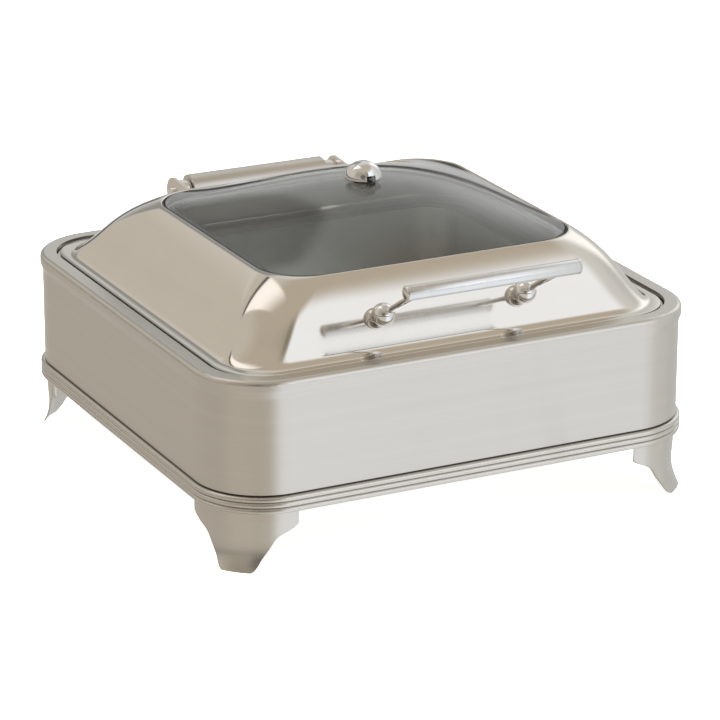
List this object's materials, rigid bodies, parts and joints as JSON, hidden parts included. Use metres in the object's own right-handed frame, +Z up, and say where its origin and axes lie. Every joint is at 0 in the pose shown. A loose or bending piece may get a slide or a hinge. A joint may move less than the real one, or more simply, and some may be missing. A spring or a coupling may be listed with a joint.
{
  "type": "chafing dish",
  "caption": "Square hinged-lid chafing dish with a domed glass window lid, bar handle, steam vent, ribbed base band, flared corner feet, food and water pans and a fuel holder.",
  "frame": {"origin": "on the surface the object stands on, under the middle of its overall box, handle included", "axes": "+X to the right, +Y from the handle to the hinge, +Z up"},
  "size_m": [0.437, 0.4572, 0.2615],
  "materials": {
    "body_steel": "satin-polished stainless steel with a fine grain",
    "lid_steel": "mirror-polished stainless steel",
    "pan_steel": "satin stainless steel, drawn",
    "bright_chrome": "bright chrome plate",
    "bar_metal": "satin steel tube",
    "window_glass": "clear bent glass",
    "black_rubber": "matt black silicone rubber",
    "fastener_steel": "bright zinc-plated steel",
    "knob_black": "black phenolic",
    "damper_grey": "grey painted metal"
  },
  "bodies": {
    "base": {"body_shell": "body_steel", "base_band": "body_steel", "foot_front_left": "body_steel", "foot_front_right": "body_steel", "foot_rear_left": "body_steel", "foot_rear_right": "body_steel", "foot_rivets": "body_steel", "carrier_ring": "body_steel", "carrier_arm_front": "body_steel", "carrier_arm_rear": "body_steel", "carrier_arm_left": "body_steel", "carrier_arm_right": "body_steel", "carrier_rivets": "body_steel", "carrier_brackets": "body_steel", "carrier_screws": "fastener_steel", "top_frame": "body_steel", "water_pan": "pan_steel", "fuel_holder": "pan_steel", "snuffer_pivot": "fastener_steel", "hinge_base": "body_steel", "hinge_cover": "lid_steel", "hinge_base_screws": "fastener_steel", "cover_screws": "fastener_steel", "hinge_damper": "damper_grey", "hinge_spring": "fastener_steel"},
    "lid": {"lid_shell": "lid_steel", "window_glass": "window_glass", "window_seal": "black_rubber", "window_retainer": "body_steel", "retainer_clips": "body_steel", "lid_buffers": "black_rubber", "vent_cap": "bright_chrome", "vent_stem": "fastener_steel", "vent_washers": "black_rubber", "vent_nut": "fastener_steel", "handle_bar": "bar_metal", "handle_nuts": "fastener_steel", "hinge_pin": "bright_chrome", "hinge_pin_caps": "bright_chrome", "arm_screws": "fastener_steel", "handle_cap_left": "bright_chrome", "handle_post_left": "bright_chrome", "handle_ball_left": "bright_chrome", "hinge_arm_left": "lid_steel", "hinge_barrel_left": "bright_chrome", "handle_cap_right": "bright_chrome", "handle_post_right": "bright_chrome", "handle_ball_right": "bright_chrome", "hinge_arm_right": "lid_steel", "hinge_barrel_right": "bright_chrome"},
    "snuffer": {"snuffer": "pan_steel", "snuffer_knob": "knob_black"},
    "food_pan": {"food_pan": "pan_steel"}
  },
  "joints": [
    {"name": "lid_hinge", "type": "hinge", "parent": "base", "child": "lid", "pos_m": [0, 0.21106, 0.186], "axis": [-1, 0, 0], "range_deg": [0, 90]},
    {"name": "snuffer_swivel", "type": "hinge", "parent": "base", "child": "snuffer", "pos_m": [0.051, 0.01706, 0.056], "axis": [0, 0, 1], "range_deg": [0, 120]},
    {"name": "food_pan_lift", "type": "slide", "parent": "base", "child": "food_pan", "axis": [0, 0, 1], "range_m": [0, 0.008]}
  ]
}
